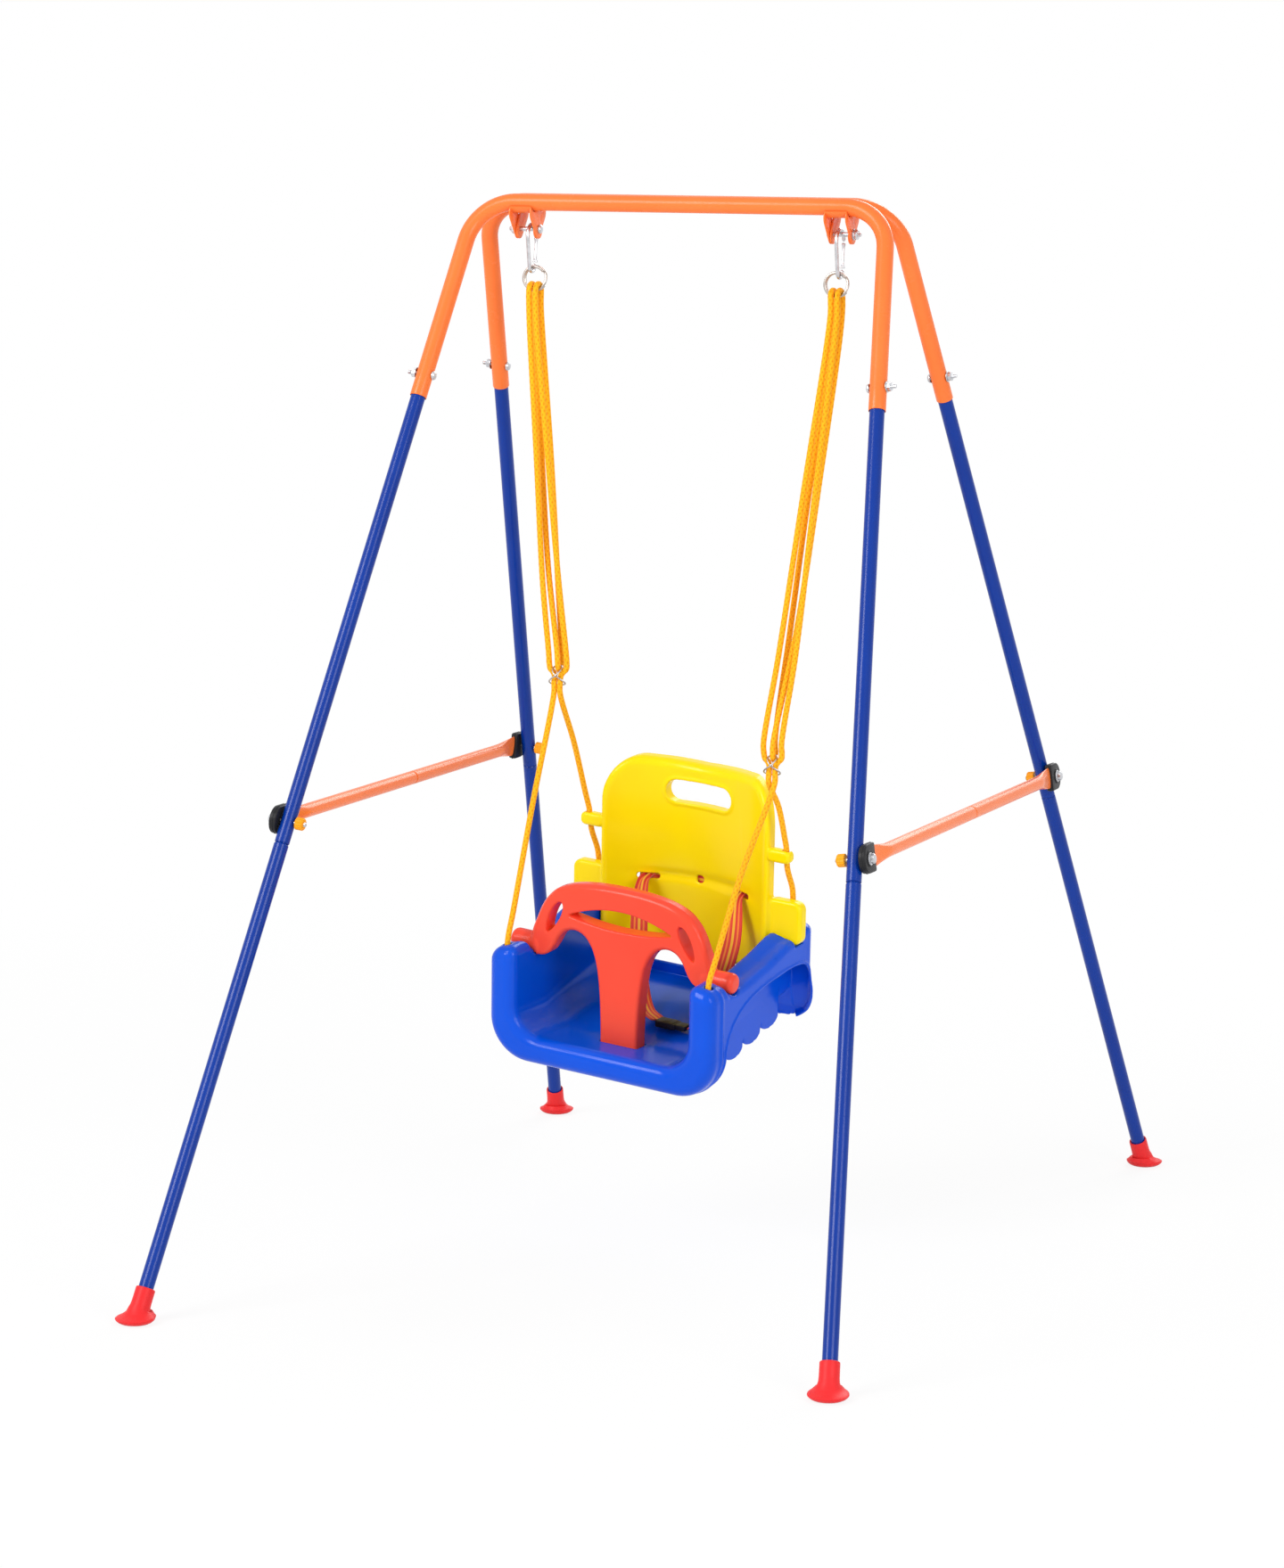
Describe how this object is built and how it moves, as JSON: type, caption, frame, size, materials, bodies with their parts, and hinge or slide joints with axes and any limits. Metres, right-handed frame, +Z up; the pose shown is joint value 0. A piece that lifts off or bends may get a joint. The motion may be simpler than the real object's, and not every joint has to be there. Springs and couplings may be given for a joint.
{
  "type": "toddler swing set",
  "caption": "Folding tube frame with a moulded bucket seat hung on two looped ropes from a double top bar, with a lift-out bar, harness and side braces.",
  "frame": {"origin": "on the ground, under the middle of the top bars", "axes": "+X to the object's side along the top bars, -Y the way the child faces, +Z up"},
  "size_m": [0.9522, 1.3968, 1.3708],
  "materials": {
    "orange_paint": "gloss powder coat",
    "blue_paint": "gloss powder coat",
    "red_foot": "satin moulded plastic",
    "black_plastic": "satin moulded plastic",
    "amber_plastic": "satin moulded plastic",
    "zinc_steel": "bright zinc",
    "amber_rope": "braided rope",
    "blue_plastic": "gloss moulded plastic",
    "yellow_plastic": "gloss moulded plastic",
    "red_plastic": "gloss moulded plastic",
    "red_webbing": "woven webbing"
  },
  "bodies": {
    "frame": {"brace_bolt_front_left": "zinc_steel", "brace_bolt_front_right": "zinc_steel", "brace_bolt_rear_left": "zinc_steel", "brace_bolt_rear_right": "zinc_steel", "brace_cap_front_left": "black_plastic", "brace_cap_front_right": "black_plastic", "brace_cap_rear_left": "black_plastic", "brace_cap_rear_right": "black_plastic", "brace_front_left": "orange_paint", "brace_front_right": "orange_paint", "brace_rear_left": "orange_paint", "brace_rear_right": "orange_paint", "cap_nut_front_left": "amber_plastic", "cap_nut_front_right": "amber_plastic", "cap_nut_rear_left": "amber_plastic", "cap_nut_rear_right": "amber_plastic", "foot_front_left": "red_foot", "foot_front_right": "red_foot", "foot_rear_left": "red_foot", "foot_rear_right": "red_foot", "front_top_bar": "orange_paint", "hanger_bolt_left": "zinc_steel", "hanger_bolt_right": "zinc_steel", "hanger_front_left": "orange_paint", "hanger_front_right": "orange_paint", "hanger_rear_left": "orange_paint", "hanger_rear_right": "orange_paint", "joint_bolt_front_left": "zinc_steel", "joint_bolt_front_right": "zinc_steel", "joint_bolt_rear_left": "zinc_steel", "joint_bolt_rear_right": "zinc_steel", "lower_leg_front_left": "blue_paint", "lower_leg_front_right": "blue_paint", "lower_leg_rear_left": "blue_paint", "lower_leg_rear_right": "blue_paint", "rear_top_bar": "orange_paint", "upper_leg_front_left": "blue_paint", "upper_leg_front_right": "blue_paint", "upper_leg_rear_left": "blue_paint", "upper_leg_rear_right": "blue_paint"},
    "swing": {"backrest": "yellow_plastic", "buckle": "black_plastic", "carabiner_left": "zinc_steel", "carabiner_right": "zinc_steel", "ring_left": "zinc_steel", "ring_right": "zinc_steel", "rope_adjuster_left": "zinc_steel", "rope_adjuster_right": "zinc_steel", "rope_left": "amber_rope", "rope_right": "amber_rope", "seat_base": "blue_plastic", "shoulder_strap_left": "red_webbing", "shoulder_strap_right": "red_webbing"},
    "lift_out_bar": {"t_bar": "red_plastic"},
    "left_gate": {"carabiner_gate_left": "zinc_steel"},
    "right_gate": {"carabiner_gate_right": "zinc_steel"}
  },
  "joints": [
    {"name": "swing_hinge", "type": "hinge", "parent": "frame", "child": "swing", "pos_m": [0, 0, 1.325], "axis": [1, 0, 0], "range_deg": [-40, 40]},
    {"name": "bar_lift", "type": "slide", "parent": "swing", "child": "lift_out_bar", "axis": [0.0672, -0.1435, 0.9874], "range_m": [0, 0.04]},
    {"name": "left_gate_hinge", "type": "hinge", "parent": "swing", "child": "left_gate", "pos_m": [-0.2105, 0.01, 1.283], "axis": [1, 0, 0], "range_deg": [0, 20], "stiffness_Nm_per_rad": 0.01, "springref_deg": -17.19},
    {"name": "right_gate_hinge", "type": "hinge", "parent": "swing", "child": "right_gate", "pos_m": [0.2135, 0.01, 1.283], "axis": [1, 0, 0], "range_deg": [0, 20], "stiffness_Nm_per_rad": 0.01, "springref_deg": -17.19}
  ]
}
